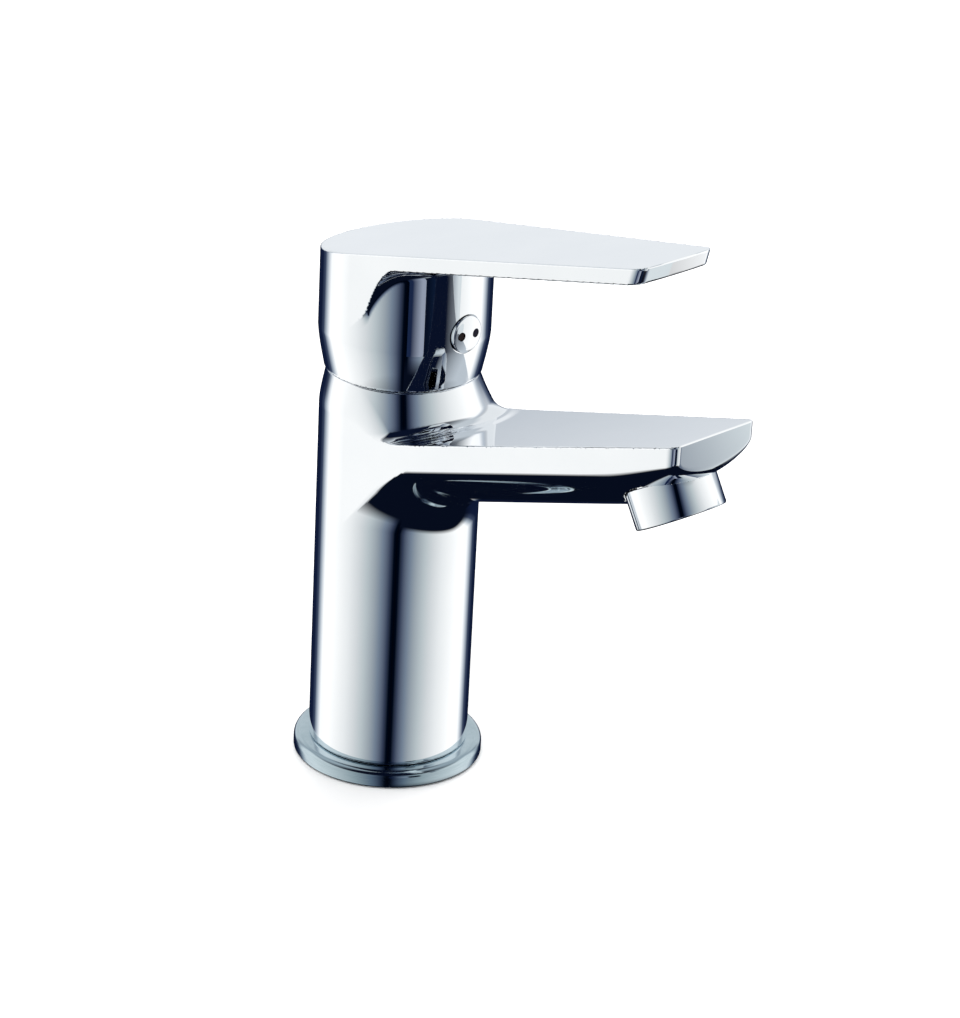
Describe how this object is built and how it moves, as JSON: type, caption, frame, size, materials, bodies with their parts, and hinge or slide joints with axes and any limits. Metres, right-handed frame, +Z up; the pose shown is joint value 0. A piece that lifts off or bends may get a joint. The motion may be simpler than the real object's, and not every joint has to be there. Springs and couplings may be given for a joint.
{
  "type": "basin mixer faucet",
  "caption": "Single-lever basin mixer faucet with a round column body, a rising flat spout, a tilted aerator and a flat lever over a ceramic-disc cartridge.",
  "frame": {"origin": "on the body's axis at the deck, on the underside of the deck gasket", "axes": "+Z up along the body, -Y forwards along the spout and lever, -X the hot side and +X the cold side"},
  "size_m": [0.0534, 0.1394, 0.1739],
  "materials": {
    "chrome": "polished chrome plate",
    "satin_chrome": "satin chrome plate",
    "brass": "machined brass",
    "stainless_steel": "machined stainless steel",
    "black_rubber": "moulded rubber",
    "grey_plastic": "glass-filled moulded plastic",
    "white_plastic": "moulded acetal",
    "alumina_ceramic": "lapped alumina",
    "hot_enamel": "gloss enamel",
    "cold_enamel": "gloss enamel"
  },
  "bodies": {
    "fixed": {"deck_gasket": "black_rubber", "base_ring": "satin_chrome", "ring_seal": "black_rubber", "body": "chrome", "aerator_collar": "chrome", "aerator_insert": "white_plastic", "aerator_screen": "stainless_steel", "aerator_washer": "black_rubber", "inlet_seal_hot": "black_rubber", "inlet_seal_cold": "black_rubber", "cartridge_base": "grey_plastic", "fixed_disc": "alumina_ceramic", "cartridge_housing": "grey_plastic", "housing_seal": "black_rubber", "retaining_nut": "brass", "bonnet_dome": "chrome"},
    "turning": {"rotor": "white_plastic", "pivot_pin": "stainless_steel"},
    "disc": {"moving_disc": "alumina_ceramic", "disc_carrier": "white_plastic"},
    "lever": {"stem": "brass", "handle": "chrome", "handle_screw": "stainless_steel", "index_plug": "chrome", "index_dot_hot": "hot_enamel", "index_dot_cold": "cold_enamel"}
  },
  "joints": [
    {"name": "temperature_turn", "type": "hinge", "parent": "fixed", "child": "turning", "pos_m": [0, 0, 0.1025], "axis": [0, 0, 1], "range_deg": [-50, 50]},
    {"name": "flow_lift", "type": "hinge", "parent": "turning", "child": "lever", "pos_m": [0, 0, 0.1025], "axis": [-1, 0, 0], "range_deg": [0, 22]},
    {"name": "disc_slide", "type": "slide", "parent": "turning", "child": "disc", "axis": [0, -1, 0], "range_m": [0, 0.0024]}
  ],
  "couplings": [
    {"joint": "disc_slide", "follows": "flow_lift", "m_per_rad": 0.0059}
  ]
}
